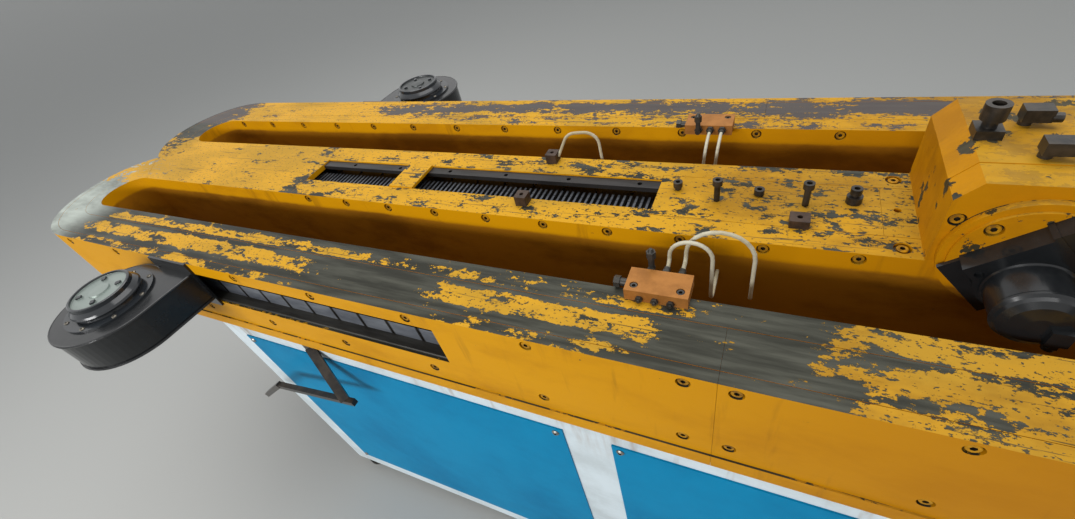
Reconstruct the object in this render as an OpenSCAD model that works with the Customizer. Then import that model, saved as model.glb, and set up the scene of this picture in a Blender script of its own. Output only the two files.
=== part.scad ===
// Corrugated pipe forming machine. Two chains of toothed mould blocks run round oval
// tracks in a flat bed, side by side along the centreline, where their halves close.
// X runs along the machine, Y across it with the operator's side negative, Z is up.
// The floor is at Z = 0 and the origin is under the middle of the bed.

/* [Bed] */
// Height of the bed's top face above the floor
bed_top = 1080; // [1000:10:1160]
// Height of the bed, base plate included
bed_h = 218; // [200:1:240]
// Thickness of the base plate
base_t = 30; // [20:1:40]
// How far the base plate stands out past the walls
base_proud = 3; // [1:1:6]
// Thickness of the plates that close the top
top_t = 12; // [10:1:14]
// Thickness of the outer walls along the straights
wall_t = 25; // [22:1:35]
// Distance from the left bend's centre to the joint across the bed
joint_x = 1610; // [1500:10:1700]

/* [Tracks] */
// Distance from the centreline to the middle of each oval track
track_y = 165; // [160:1:170]
// Radius of the open slot's round ends
slot_r = 65; // [60:1:68]
// Thickness of the wall between the open slot and the mould blocks
inner_t = 45; // [42:1:48]
// Half width of the opening over the racks
centre_half = 43; // [40:1:46]
// Half width of the centre covers right of the racks
cover_half = 57; // [56:1:70]
// Gap round the covers
cover_gap = 0.8; // [0.4:0.1:1.2]
// Width of the ledge that carries the edge of a cover
ledge = 5; // [4:1:6]

/* [Mould blocks] */
// Number of mould blocks in each chain
block_count = 78; // [76:1:80]
// Distance from one mould block to the next
block_pitch = 70; // [70:1:71]
// Gap between neighbouring mould blocks
block_gap = 2; // [1.5:0.1:3]
// Height of a mould block without its rack
block_h = 154; // [152:1:156]
// Teeth on each block's rack
rack_teeth = 6; // [4:1:7]
// Height of the rack teeth
tooth_h = 8; // [6:0.5:8]
// Width of each rack
rack_w = 17; // [14:1:20]
// Radius of the half-round mould cavity
cavity_r = 13; // [8:0.5:16]
// Depth of the cavity's axis below the top face
cavity_z = 66; // [60:1:72]

/* [Top opening] */
// Left end of the opening over the racks, measured from the bed joint
rack_open_left = -1000; // [-1050:5:-950]
// Right end of the opening over the racks, measured from the bed joint
rack_open_right = -152; // [-180:1:-120]
// Left edge of the crossbar over the racks
crossbar_x = -735; // [-760:5:-700]
// Width of the crossbar
crossbar_w = 64; // [50:1:80]
// Joint between the two centre covers right of the racks
centre_joint_x = 180; // [150:5:200]

/* [Screws] */
// Radius of the counterbores in the walls and bars
bore_r = 9.5; // [8:0.5:11]
// Depth of the counterbores
bore_depth = 9; // [7:0.5:11]
// First screw in the walls left of the bed joint
left_screw_x = -40; // [-60:1:-25]
// First screw in the walls right of the bed joint
right_screw_x = 22; // [16:1:30]
// Distance between screws along the outer walls
wall_screws = 219; // [200:1:240]
// First screw in the outer bars, left of the bed joint
outer_screw_x = -152; // [-170:1:-130]
// Distance between screws along the outer bars
outer_screws = 142; // [130:1:160]
// First screw in the inner bars, right of the bed joint
inner_screw_x = 29; // [20:1:40]
// Distance between screws along the inner bars
inner_screws = 122; // [110:1:140]
// Depth of the walls' upper screws below the top face
upper_screw_z = 15; // [14:0.5:17]
// Height of the walls' lower screws above the base plate
lower_screw_up = 33; // [20:1:40]

/* [Side window] */
// Left end of the window in the outer wall
window_left = -1180; // [-1200:5:-1150]
// Right end of the window
window_right = -432; // [-460:2:-400]
// Depth of the window's upper edge below the top face
window_top = 32; // [28:1:40]
// Depth of the window's lower edge below the top face
window_low = 122; // [116:1:130]
// Height of the steel rail along the window's lower edge
rail_h = 43; // [30:1:50]

/* [Frame] */
// Left end of the frame, measured from the bed joint
frame_left = -1200; // [-1240:5:-1160]
// Right end of the frame
frame_right = 786; // [740:2:800]
// Half depth of the frame
frame_half = 345; // [330:1:350]
// Side of the square end posts
post_w = 85; // [70:1:100]
// Width of the middle post
mid_post_w = 122; // [100:1:140]
// Middle of the middle post, measured from the bed joint
mid_post_x = -207; // [-230:1:-180]
// Height of the top rail
top_rail_h = 75; // [60:1:90]
// Height of the bottom rail
low_rail_h = 80; // [60:1:100]
// Clearance between frame and floor, filled by the levelling feet
foot_h = 50; // [40:1:70]
// Thickness of the sheet panels
panel_t = 3; // [2:0.5:4]
// How far a panel laps over the frame round its opening
panel_lap = 15; // [10:1:20]

/* [Drive housing] */
// Left face of the drive housing, measured from the bed joint
drive_x = 222; // [200:1:240]
// Length of the drive housing
drive_l = 180; // [160:2:220]
// Height of the drive housing's upright faces
drive_h = 100; // [80:1:120]
// Rise of the bevel to the flat top
drive_bevel_h = 26; // [16:1:30]
// Width of the bevel
drive_bevel_w = 22; // [16:1:30]
// Radius of the bearing flange
flange_r = 84; // [70:1:90]
// Height of the bearing flange's centre above the bed
flange_z = 25; // [20:1:30]
// Thickness of the bearing flange
flange_t = 10; // [8:1:14]
// Width of the step round the bearing flange
flange_step = 9; // [6:1:12]
// Height of the housing plates' screws above the bed
plate_screw_z = 71; // [60:1:78]

/* [Grease fittings] */
// Length of a grease manifold
manifold_l = 89; // [80:1:110]
// Width of a grease manifold
manifold_w = 46; // [42:1:55]
// Height of a grease manifold
manifold_h = 20; // [18:1:28]
// Left end of the manifolds, measured from the bed joint
manifold_x = -142; // [-160:1:-130]
// How far the manifolds stand back from the slot's edge
manifold_back = 20; // [15:1:25]
// Distance between the fittings on a manifold
fitting_gap = 22; // [18:1:26]
// Radius of the grease tubes
tube_r = 3; // [2:0.5:4]
// Side of the small grease blocks
grease_block = 24; // [20:1:28]

/* [Blowers] */
// Middle of the near blower along the bed
blower_x = -1200; // [-1215:5:-1185]
// Middle of the far blower along the bed
far_blower_x = -1000; // [-1030:5:-970]
// Distance from the centreline to a blower's middle
blower_y = 466; // [466:1:490]
// Radius of the volute where it is smallest
volute_r = 100; // [94:1:102]
// Radius of the volute where it meets the outlet
volute_r_end = 124; // [118:1:128]
// Height of the volute
volute_h = 80; // [76:1:90]
// Depth of the volute's top face below the bed's top face
volute_z = 28; // [25:1:35]

/* [Hidden] */
$fn = 96;
reach = 3000;
seam_gap = 0.2;
ring_r = slot_r + inner_t;
wall_r = track_y + wall_t;
cover_in = ring_r - ledge;
cover_out = track_y + 7;
path_r = (ring_r + track_y) / 2;
straight = (block_count * block_pitch - 2 * PI * path_r) / 2;
x_left = -joint_x;
x_right = x_left + straight;
bed_mid = (x_left + x_right) / 2;
block_half = (block_pitch - block_gap) / 2;
block_in = ring_r + 1 - path_r;
block_out = track_y - 0.5 - path_r;
// Outer corners of a block swing out on the bends, so the wall is cut back there
bend_r = sqrt(pow(track_y - 0.5, 2) + pow(block_half, 2)) + 1;
wall_z = base_t - bed_h;
block_top = wall_z + block_h;
shelf_half = rack_w + 3;
wedge_l = 80;
pipe_hole = 60;
far = [0, 1, 0];
steel = [0.32, 0.32, 0.31];
dark = [0.09, 0.09, 0.10];
paint = [0.93, 0.65, 0.05];
white = [0.86, 0.87, 0.87];
teal = [0.03, 0.45, 0.62];
copper = [0.78, 0.42, 0.13];
cream = [0.85, 0.82, 0.70];

// Bed coordinates: X from the joint across the bed, Z down from the top face
module on_bed() {
    translate([-bed_mid, 0, bed_top]) children();
}

// The same thing on both sides of the centreline
module both_sides() {
    children();
    mirror(far) children();
}

function unit(v) = v / norm(v);

// Moves children from the origin to a, with +Z turned towards b
module towards(a, b) {
    d = b - a;
    translate(a) rotate([0, acos(d[2] / norm(d)), atan2(d[1], d[0])]) children();
}

// Plan outline of the near track at a given radius
module oval(r) {
    translate([x_left, -track_y]) circle(r);
    translate([x_right, -track_y]) circle(r);
    translate([x_left, -track_y - r]) square([straight, 2 * r]);
}

// Plan area on the near side of the centreline between two stations
module near_side(x0, x1) {
    translate([x0, -reach]) square([x1 - x0, reach]);
}

// Part of the left centre cover that runs out between the two bends
module wedge(grow = 0) {
    half = track_y - slot_r;
    translate([x_left, 0])
        polygon([[1, -half], [1, half], [-wedge_l, 20], [-wedge_l, -20]]
            + grow * [[0, -1], [0, 1], [-1, 1], [-1, -1]]);
}

module right_wedge(grow = 0) {
    translate([x_left + x_right, 0]) mirror([1, 0]) wedge(grow);
}

// Stations a pitch apart from the first one up to a limit, towards +X or -X
function stations(first, pitch, limit) =
    [for (i = [0 : floor(abs(limit - first) / pitch)]) first + sign(limit - first) * i * pitch];

// Counterbores for socket screws in a face across Y; they go in along +Y, or along -Y
module counterbores(xs, y, z, way = 1) {
    for (x = xs)
        translate([x, y - way, z]) rotate([-90 * way, 0, 0])
            cylinder(r = bore_r, h = bore_depth + 1, $fn = 32);
}

// Welded ladder frame of one long side
module ladder_frame() {
    h = bed_top - bed_h - foot_h;
    clear_low = low_rail_h;
    clear_h = h - low_rail_h - top_rail_h;
    mid0 = mid_post_x - mid_post_w / 2;
    mid1 = mid_post_x + mid_post_w / 2;
    color(white) on_bed()
        translate([0, -frame_half + post_w, -bed_top + foot_h]) rotate([90, 0, 0])
            linear_extrude(post_w) difference() {
                translate([frame_left, 0]) square([frame_right - frame_left, h]);
                translate([frame_left + post_w, clear_low])
                    square([mid0 - frame_left - post_w, clear_h]);
                translate([mid1, clear_low]) square([frame_right - post_w - mid1, clear_h]);
            }
}

module front_frame() {
    ladder_frame();
}

module back_frame() {
    mirror(far) ladder_frame();
}

// Cross members between the two ladder frames
module frame_ties() {
    span = 2 * (frame_half - post_w);
    h = bed_top - bed_h - foot_h;
    color(white) on_bed()
        for (x = [frame_left, mid_post_x - post_w / 2, frame_right - post_w])
            for (z = [-bed_top + foot_h, -bed_h - top_rail_h])
                translate([x, -span / 2, z])
                    cube([post_w, span, z < -bed_h - top_rail_h ? low_rail_h : top_rail_h]);
}

// Threaded foot with a round pad under each post
module levelling_feet() {
    color(steel) on_bed()
        for (x = [frame_left + post_w / 2, mid_post_x, frame_right - post_w / 2])
            for (y = [-frame_half + post_w / 2, frame_half - post_w / 2])
                translate([x, y, -bed_top]) {
                    cylinder(r = 40, h = 12);
                    cylinder(r = 12, h = foot_h);
                    translate([0, 0, foot_h - 18]) cylinder(r = 20, h = 10);
                }
}

// Sheet panel over one opening of a ladder frame
module side_panel(x0, x1) {
    z0 = -bed_top + foot_h + low_rail_h - panel_lap;
    z1 = -bed_h - top_rail_h + panel_lap;
    color(teal) on_bed()
        translate([x0 - panel_lap, -frame_half - panel_t, z0])
            cube([x1 - x0 + 2 * panel_lap, panel_t, z1 - z0]);
}

module front_panel_left() {
    side_panel(frame_left + post_w, mid_post_x - mid_post_w / 2);
}

module front_panel_right() {
    side_panel(mid_post_x + mid_post_w / 2, frame_right - post_w);
}

module back_panel_left() {
    mirror(far) front_panel_left();
}

module back_panel_right() {
    mirror(far) front_panel_right();
}

// Sheet panel over one end of the frame
module end_panel(x) {
    z0 = -bed_top + foot_h + low_rail_h - panel_lap;
    z1 = -bed_h - top_rail_h + panel_lap;
    w = 2 * (frame_half - post_w + panel_lap);
    color(teal) on_bed()
        translate([x, -w / 2, z0]) cube([panel_t, w, z1 - z0]);
}

module end_panel_left() {
    end_panel(frame_left - panel_t);
}

module end_panel_right() {
    end_panel(frame_right);
}

// Bar of square section between two points
module bar(a, b, w) {
    towards(a, b) translate([-w / 2, -w / 2, 0]) cube([w, w, norm(b - a)]);
}

// Black bent bar that stands off the front panel, screwed to the frame's top rail
module hook_bar() {
    face = -frame_half;
    off = face - 55;
    color(dark) on_bed() {
        translate([-890, face - 6, -bed_h - 44]) cube([36, 6, 36]);
        difference() {
            bar([-872, face - 3, -bed_h - 24], [-779, off - 1, -341], 20);
            translate([-1000, face, -bed_h - 200]) cube([300, 100, 200]);
        }
        bar([-748, off, -336], [-1052, off, -397], 13);
        bar([-782, off + 0.5, -345], [-1068, off + 0.5, -413], 7);
        bar([-1044, off - 0.7, -392], [-1180, off - 0.7, -499], 14);
    }
}

// Base plate between two stations
module base_plate(x0, x1) {
    r = wall_r + base_proud;
    color(paint) on_bed()
        translate([0, 0, -bed_h]) linear_extrude(base_t)
            intersection() {
                union() {
                    oval(r);
                    mirror([0, 1]) oval(r);
                }
                translate([x0, -reach]) square([x1 - x0, 2 * reach]);
            }
}

module base_plate_left() {
    base_plate(-reach, -seam_gap);
}

module base_plate_right() {
    base_plate(seam_gap, reach);
}

// Outer wall of the near side between two stations, ends of the bed included
module outer_wall(x0, x1) {
    translate([0, 0, wall_z]) linear_extrude(-wall_z - top_t) difference() {
        intersection() {
            oval(wall_r);
            near_side(x0, x1);
        }
        oval(track_y);
        for (x = [x_left, x_right]) translate([x, -track_y]) circle(bend_r);
    }
    translate([0, 0, -top_t]) linear_extrude(top_t) difference() {
        intersection() {
            oval(wall_r);
            near_side(x0, x1);
        }
        oval(cover_out);
        wedge(cover_gap);
        right_wedge(cover_gap);
    }
}

// Two rows of wall screws at the given stations
module wall_screw_rows(xs) {
    for (z = [-upper_screw_z, wall_z + lower_screw_up])
        counterbores(xs, -wall_r - track_y, z);
}

// Hole through both ends of the bed on the centreline: the hot tube comes in, the pipe goes out
module pipe_holes() {
    for (x = [x_left - wall_r, x_right])
        translate([x, -pipe_hole / 2, -cavity_z - pipe_hole / 2])
            cube([wall_r, pipe_hole, pipe_hole]);
}

// Opening through the outer wall that shows the mould blocks
module window_cut() {
    translate([window_left, -wall_r - track_y - 1, -window_low])
        cube([window_right - window_left, wall_t + 2, window_low - window_top]);
}

module near_wall_left() {
    color(paint) on_bed() difference() {
        outer_wall(-reach, -seam_gap);
        window_cut();
        wall_screw_rows(stations(left_screw_x, wall_screws, x_left));
        pipe_holes();
    }
}

module near_wall_right() {
    color(paint) on_bed() difference() {
        outer_wall(seam_gap, reach);
        wall_screw_rows(stations(right_screw_x, wall_screws, x_right));
        pipe_holes();
    }
}

module far_wall_left() {
    mirror(far) near_wall_left();
}

module far_wall_right() {
    mirror(far) near_wall_right();
}

// Straight wall on the outer side of the open slot
module outer_bar() {
    color(paint) on_bed() difference() {
        union() {
            translate([x_left, -track_y - ring_r, wall_z])
                cube([straight, inner_t, -wall_z - top_t]);
            translate([x_left, -track_y - cover_in + cover_gap, -top_t])
                cube([straight, inner_t - ledge - cover_gap, top_t]);
        }
        counterbores(stations(outer_screw_x, outer_screws, x_left), -track_y - slot_r, -top_t, -1);
        counterbores(stations(outer_screw_x + outer_screws, outer_screws, x_right),
            -track_y - slot_r, -top_t, -1);
    }
}

// Straight wall on the inner side of the open slot. Its top flange carries the shelf and the
// centre covers, and reaches over the mould blocks
module inner_bar() {
    edge = -track_y + slot_r;
    flange_x = rack_open_left + cover_gap;
    flange_end = x_right - 1 - cover_gap;
    color(paint) on_bed() difference() {
        union() {
            translate([x_left, edge, wall_z]) cube([straight, inner_t, -wall_z - top_t]);
            translate([flange_x, edge, -top_t])
                cube([flange_end - flange_x, -edge - cover_half - cover_gap, top_t]);
            translate([flange_x, edge, -top_t])
                cube([rack_open_right - cover_gap - flange_x, -edge - centre_half, top_t]);
        }
        counterbores(stations(inner_screw_x, inner_screws, rack_open_left), edge, -top_t);
        counterbores([for (i = [1, 4, 5]) inner_screw_x + i * inner_screws], edge, -top_t);
        translate([drive_x - 22, edge + 20, -8]) cylinder(r = 11, h = 9);
    }
}

module near_outer_bar() {
    outer_bar();
}

module near_inner_bar() {
    inner_bar();
}

module far_inner_bar() {
    mirror(far) inner_bar();
}

module far_outer_bar() {
    mirror(far) outer_bar();
}

// Half-ring wall that joins the two bars round the left end of the slot
module left_bend() {
    color(paint) on_bed() translate([x_left, -track_y, 0]) {
        translate([0, 0, wall_z]) linear_extrude(-wall_z - top_t) difference() {
            circle(ring_r);
            circle(slot_r);
            translate([0, -reach]) square([reach, 2 * reach]);
        }
        translate([0, 0, -top_t]) linear_extrude(top_t) difference() {
            circle(cover_in - cover_gap);
            circle(slot_r);
            translate([0, -reach]) square([reach, 2 * reach]);
            translate([-x_left, track_y]) wedge(cover_gap);
        }
    }
}

module near_left_bend() {
    left_bend();
}

module near_right_bend() {
    mirror([1, 0, 0]) left_bend();
}

module far_left_bend() {
    mirror(far) left_bend();
}

module far_right_bend() {
    mirror(far) near_right_bend();
}

// Cover over the outer run of the mould blocks, between two stations
module track_cover(x0, x1) {
    color(paint) on_bed()
        translate([0, 0, -top_t]) linear_extrude(top_t) difference() {
            intersection() {
                oval(cover_out - cover_gap);
                near_side(x0, x1);
            }
            oval(cover_in);
            translate([x_left, -track_y]) square([straight, reach]);
            wedge(cover_gap);
            right_wedge(cover_gap);
        }
}

module near_cover_left() {
    track_cover(-reach, -seam_gap);
}

module near_cover_right() {
    track_cover(seam_gap, reach);
}

module far_cover_left() {
    mirror(far) near_cover_left();
}

module far_cover_right() {
    mirror(far) near_cover_right();
}

// Bare steel shelf along the far edge of the opening, drilled for screws
module rack_shelf() {
    x0 = rack_open_left + cover_gap;
    x1 = rack_open_right - cover_gap;
    w = centre_half - shelf_half;
    color(steel) on_bed() difference() {
        translate([x0, shelf_half, -top_t]) cube([x1 - x0, w, top_t - 3]);
        for (x = stations(x1 - 38, outer_screws, x0))
            translate([x, shelf_half + w / 2, -top_t - 1]) cylinder(r = 4.5, h = top_t);
    }
}

module centre_cover_left() {
    half = track_y - slot_r;
    color(paint) on_bed()
        translate([0, 0, -top_t]) linear_extrude(top_t) {
            translate([x_left, -half]) square([rack_open_left - x_left, 2 * half]);
            wedge();
        }
}

// Bar across the opening over the racks
module centre_crossbar() {
    color(paint) on_bed()
        translate([crossbar_x, -centre_half, -3])
            cube([crossbar_w, 2 * centre_half, 6]);
}

module centre_cover_middle() {
    color(paint) on_bed()
        translate([rack_open_right, -cover_half, -top_t])
            cube([centre_joint_x - rack_open_right - seam_gap, 2 * cover_half, top_t]);
}

module centre_cover_right() {
    color(paint) on_bed()
        translate([0, 0, -top_t]) linear_extrude(top_t) {
            difference() {
                translate([centre_joint_x + seam_gap, -cover_half])
                    square([x_right + 1 - centre_joint_x - seam_gap, 2 * cover_half]);
                translate([drive_x - 22, 3]) circle(5);
            }
            right_wedge();
        }
}

// One mould block, at the path's origin with its cavity facing +Y
module mould_block() {
    back_half = block_half - 7;
    tooth = block_pitch / rack_teeth;
    root = block_top + 4;
    difference() {
        translate([0, 0, wall_z]) linear_extrude(block_h)
            polygon([
                [-back_half, block_in], [back_half, block_in],
                [block_half, block_in + 20], [block_half, block_out],
                [-block_half, block_out], [-block_half, block_in + 20]
            ]);
        translate([-block_pitch, block_out, -cavity_z]) rotate([0, 90, 0])
            cylinder(r = cavity_r, h = 2 * block_pitch);
    }
    translate([0, block_out, 0]) rotate([90, 0, 0]) linear_extrude(rack_w)
        polygon(concat(
            [[-block_half, block_top], [block_half, block_top]],
            [for (i = [rack_teeth - 1 : -1 : 0])
                for (p = [[0.34, 0], [0.18, 1], [-0.18, 1], [-0.34, 0]])
                    [(i + 0.5 + p[0]) * tooth - block_pitch / 2, root + p[1] * tooth_h]]
        ));
}

// Place of a block whose middle is a given distance along the loop
module along_loop(s) {
    bend = PI * path_r;
    if (s < straight)
        translate([x_left + s, -track_y + path_r, 0]) children();
    else if (s < straight + bend)
        translate([x_right, -track_y, 0]) rotate([0, 0, -(s - straight) / path_r * 180 / PI])
            translate([0, path_r, 0]) children();
    else if (s < 2 * straight + bend)
        translate([x_right - (s - straight - bend), -track_y - path_r, 0])
            rotate([0, 0, 180]) children();
    else
        translate([x_left, -track_y, 0])
            rotate([0, 0, 180 - (s - 2 * straight - bend) / path_r * 180 / PI])
                translate([0, path_r, 0]) children();
}

module near_mould_blocks() {
    color(dark) on_bed()
        for (i = [0 : block_count - 1])
            along_loop((i + 0.5) * block_pitch) mould_block();
}

module far_mould_blocks() {
    mirror(far) near_mould_blocks();
}

// Steel rail along the lower edge of each side window
module window_rails() {
    color(steel) on_bed() both_sides()
        translate([window_left, track_y + track_y + 1, -window_low])
            cube([window_right - window_left, wall_t - 5, rail_h]);
}

// Profile of the drive housing along the bed, both ends bevelled
module drive_profile(h) {
    polygon([
        [0, 0], [drive_l, 0], [drive_l, h], [drive_l - drive_bevel_w, h + drive_bevel_h],
        [drive_bevel_w, h + drive_bevel_h], [0, h]
    ]);
}

// Slice of the drive housing between two Y stations
module drive_slice(y0, y1, h) {
    color(paint) on_bed()
        translate([drive_x, y1, 0]) rotate([90, 0, 0]) linear_extrude(y1 - y0) drive_profile(h);
}

module drive_body() {
    drive_slice(-58, 58, drive_h);
}

module drive_front_plate() {
    edge = -track_y + slot_r;
    color(paint) difference() {
        drive_slice(edge, -58.3, drive_h - 1);
        on_bed() counterbores([drive_x + bore_r + 3, drive_x + drive_l - bore_r - 3],
            edge, plate_screw_z);
    }
}

module drive_back_plate() {
    mirror(far) drive_front_plate();
}

// Stepped round flange that closes the drive shaft's bearing on the slot side
module bearing_flange() {
    inner = flange_r - flange_step;
    color(paint) on_bed()
        translate([drive_x + drive_l / 2, -track_y + slot_r, flange_z]) rotate([90, 0, 0])
            difference() {
                union() {
                    cylinder(r = flange_r, h = flange_t);
                    cylinder(r = inner, h = flange_t + 4);
                }
                for (a = [45, 135]) rotate([0, 0, a])
                    translate([inner - bore_r - 1.5, 0, flange_t + 4 - bore_depth])
                        cylinder(r = bore_r, h = bore_depth + 1, $fn = 32);
            }
}

// Square nut with a tall socket screw, and two set blocks on stems
module clamp_bolts() {
    top = drive_h + drive_bevel_h;
    color(dark) on_bed() {
        translate([drive_x + drive_bevel_w + 14, 4, top]) {
            translate([-14, -14, 0]) cube([28, 28, 12]);
            cylinder(r = 8, h = 30);
            translate([0, 0, 22]) difference() {
                cylinder(r = 13, h = 20);
                translate([0, 0, 10]) cylinder(r = 7, h = 11);
            }
        }
        for (p = [[84, 29], [88, -45]]) translate([drive_x + p[0], p[1], top]) {
            translate([-6, 3, 0]) cylinder(r = 7, h = 9);
            translate([-14, -10, 8]) cube([28, 20, 16]);
            translate([13, -5, 13]) rotate([0, 90, 0]) cylinder(r = 6, h = 10);
        }
    }
}

// Socket head screw standing proud of the cover
module proud_screw(h) {
    difference() {
        union() {
            cylinder(r = 5, h = h);
            translate([0, 0, h - 10]) cylinder(r = 8, h = 10);
        }
        translate([0, 0, h - 6]) cylinder(r = 4, h = 7);
    }
}

// Jacking screws on the centre cover, as X, Y and height; the last one has a spacer under it
module cover_screws() {
    color(dark) on_bed()
        for (s = [[-119, 19, 16], [-51, -5, 42], [12, 18, 12], [80, 0, 42], [145, 16, 26]])
            translate([s[0], s[1], 0]) proud_screw(s[2]);
    color(paint) on_bed() translate([145, 16, 0]) difference() {
        cylinder(r = 11, h = 12);
        translate([0, 0, -1]) cylinder(r = 5.3, h = 14);
    }
}

// Place of the small grease block beside the far slot, whose tube goes down into that slot
tube_block = [-387, track_y - slot_r - grease_block / 2];

// Small blocks that feed grease to the racks
module grease_blocks() {
    color(steel) on_bed()
        for (p = [[-393, -centre_half - grease_block / 2 - 1, 20, 0],
                [tube_block[0], tube_block[1], 20, 0], [73, -cover_half + 9, 14, 4]])
            translate([p[0], p[1], 0]) difference() {
                linear_extrude(p[2]) offset(2)
                    square([grease_block - 4 + p[3], grease_block - 4], center = true);
                translate([0, 0, p[2] - 6]) cylinder(r = 4, h = 7);
            }
}

// Grease manifold block with its end cap, front screws and three fittings over the slot; the
// first fitting ends in a tall grease nipple
module manifold() {
    on_bed() translate([manifold_x, -track_y - slot_r - manifold_back, 0]) {
        color(copper) difference() {
            cube([manifold_l, manifold_w, manifold_h]);
            for (x = [12, manifold_l - 12])
                translate([x, 12, manifold_h - 7]) cylinder(r = 6, h = 8);
        }
        color(dark) {
            translate([-20, manifold_w / 2, manifold_h / 2]) rotate([0, 90, 0]) {
                cylinder(r = manifold_h / 2 - 1, h = 9, $fn = 6);
                cylinder(r = 6, h = 20);
            }
            for (i = [0 : 2]) {
                translate([fitting_gap * (i + 1), 0, 7]) rotate([90, 0, 0]) {
                    cylinder(r = 5.5, h = 5, $fn = 6);
                    cylinder(r = 2.5, h = 8);
                }
                translate([fitting_x(i) - manifold_x, manifold_w, fitting_z])
                    rotate([-90, 0, 0]) {
                        cylinder(r = 7.5, h = 6, $fn = 6);
                        cylinder(r = 5, h = 14);
                    }
            }
            translate([fitting_x(0) - manifold_x, manifold_w + 10, fitting_z]) {
                cylinder(r = 4.5, h = 26);
                translate([0, 0, 22]) cylinder(r = 7, h = 12, $fn = 6);
                translate([0, 0, 33]) cylinder(r1 = 5, r2 = 2.5, h = 6);
            }
        }
    }
}

// Station and height of a manifold's fittings, and how far their ends lie from the centreline
function fitting_x(i) = manifold_x + 27 + fitting_gap * i;
fitting_z = 12;
fitting_y = track_y + slot_r + manifold_back - manifold_w - 14;

module near_manifold() {
    manifold();
}

module far_manifold() {
    mirror(far) manifold();
}

// Points round the bend of radius r at the corner b of a, b, c
function bend_points(a, b, c, r) = let(
        u = unit(b - a), v = unit(c - b), angle = acos(u * v),
        n = unit(v - (v * u) * u), middle = b - u * r * tan(angle / 2) + n * r)
    [for (i = [0 : 6]) middle - n * r * cos(angle * i / 6) + u * r * sin(angle * i / 6)];

// Middle line of a tube whose inner points are rounded to the given radii
function route(points, bends) = concat([points[0]],
    [for (i = [1 : len(points) - 2])
        each bend_points(points[i - 1], points[i], points[i + 1], bends[i - 1])],
    [points[len(points) - 1]]);

// Direction of a line at each of its points, and normals carried along it without twist
function headings(line) = let(last = len(line) - 1)
    [for (i = [0 : last]) unit(line[min(i + 1, last)] - line[max(i - 1, 0)])];
function square_to(v, t) = unit(v - (v * t) * t);
function normals(t) = [for (i = 0, n = unit(cross(t[0], [1, 0, 0])); i < len(t);
    i = i + 1, n = i < len(t) ? square_to(n, t[i]) : n) n];

// Tube along a route of points, with a bend of the given radius at each inner point
module tube(points, bends) {
    line = route(points, bends);
    t = headings(line);
    n = normals(t);
    sides = 10;
    rings = len(line);
    corners = [for (i = [0 : rings - 1]) let(b = cross(t[i], n[i])) for (k = [0 : sides - 1])
        line[i] + tube_r * (cos(k * 36) * n[i] + sin(k * 36) * b)];
    skin = [for (i = [0 : rings - 2]) for (k = [0 : sides - 1])
        let(p = i * sides, k1 = (k + 1) % sides)
        for (f = [[p + k, p + sides + k, p + sides + k1], [p + k, p + sides + k1, p + k1]]) f];
    ends = [[for (k = [0 : sides - 1]) k],
        [for (k = [sides - 1 : -1 : 0]) (rings - 1) * sides + k]];
    polyhedron(points = corners, faces = concat(skin, ends), convexity = 6);
}

// Tubes from the manifolds into the inner bars: the near ones stand up in arches, the far
// ones hang; a third leaves a small grease block
module grease_tubes() {
    wall_y = track_y - slot_r;
    arch_low = fitting_z + 12;
    color(cream) on_bed() {
        for (t = [[1, 30], [2, 46]]) {
            x = fitting_x(t[0]);
            x1 = x + 2 * t[1];
            mid_y = fitting_y - 6 - 9 * t[0];
            top = arch_low + t[1];
            tube([[x, -fitting_y, fitting_z], [x, -mid_y, fitting_z], [x, -mid_y, top],
                [x1, -mid_y, top], [x1, -mid_y, -70], [x1, -wall_y, -70]],
                [11, t[1] - 1, t[1] - 1, 30]);
        }
        for (i = [1, 2]) {
            x = fitting_x(i);
            tube([[x, fitting_y, fitting_z], [x, fitting_y - 34, fitting_z],
                [x - 8, fitting_y - 34, -90], [x - 8, wall_y, -90]], [32, 28]);
        }
        block = [tube_block[0] + grease_block / 2, tube_block[1] + 3];
        tube([[block[0], block[1], 10], [block[0] + 24, block[1] + 8, 58],
            [block[0] + 82, wall_y + 12, 56], [block[0] + 88, wall_y + 12, -48],
            [block[0] + 88, wall_y, -48]], [24, 30, 9]);
    }
}

// Radius of the volute at a given turn, growing evenly up to the outlet
function volute_at(turn) = volute_r + (volute_r_end - volute_r) * turn / 360;

// Spiral outline of the volute with its outlet duct, which leaves along +Y on the +X side
module volute_outline(grow = 0) {
    mouth = blower_y - wall_r - track_y - 5;
    polygon([for (a = [0 : 6 : 354]) (volute_at(a) + grow) * [cos(a), sin(a)]]);
    polygon([
        [0, 0], [volute_r_end + grow, 0],
        [volute_r_end + 8 + grow, mouth], [14 - grow, mouth]
    ]);
}

// Sheet metal blower: volute with rolled rims, outlet duct and bolting flange
module blower() {
    duct_l = blower_y - wall_r - track_y;
    color(dark) {
        translate([0, 0, -volute_h]) linear_extrude(volute_h) volute_outline();
        for (z = [-volute_h, -5]) translate([0, 0, z]) linear_extrude(5) volute_outline(3);
        translate([6, duct_l - 5, -volute_h - 22]) cube([volute_r_end + 10, 5, volute_h + 50]);
    }
}

// Stepped round motor on top of a blower: mounting plate, flared pan, recessed end cap
// with a round boss, and four screws in the recess
module blower_motor() {
    k = volute_r / 100;
    color(dark) scale(k) {
        rotate_extrude() polygon([
            [0, 0], [88, 0], [88, 4], [65, 4], [64, 9], [69, 11], [70, 14], [68, 18],
            [61, 25], [60, 33], [58, 34], [55, 34], [54, 30], [21, 30], [20, 33], [0, 34]
        ]);
        for (a = [45 : 90 : 315]) rotate([0, 0, a]) translate([34, -4, 29]) cube([10, 8, 5]);
    }
}

module near_blower_place() {
    on_bed() translate([blower_x, -blower_y, -volute_z]) children();
}

module far_blower_place() {
    on_bed() translate([far_blower_x, blower_y, -volute_z]) rotate([0, 0, 180]) children();
}

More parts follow.
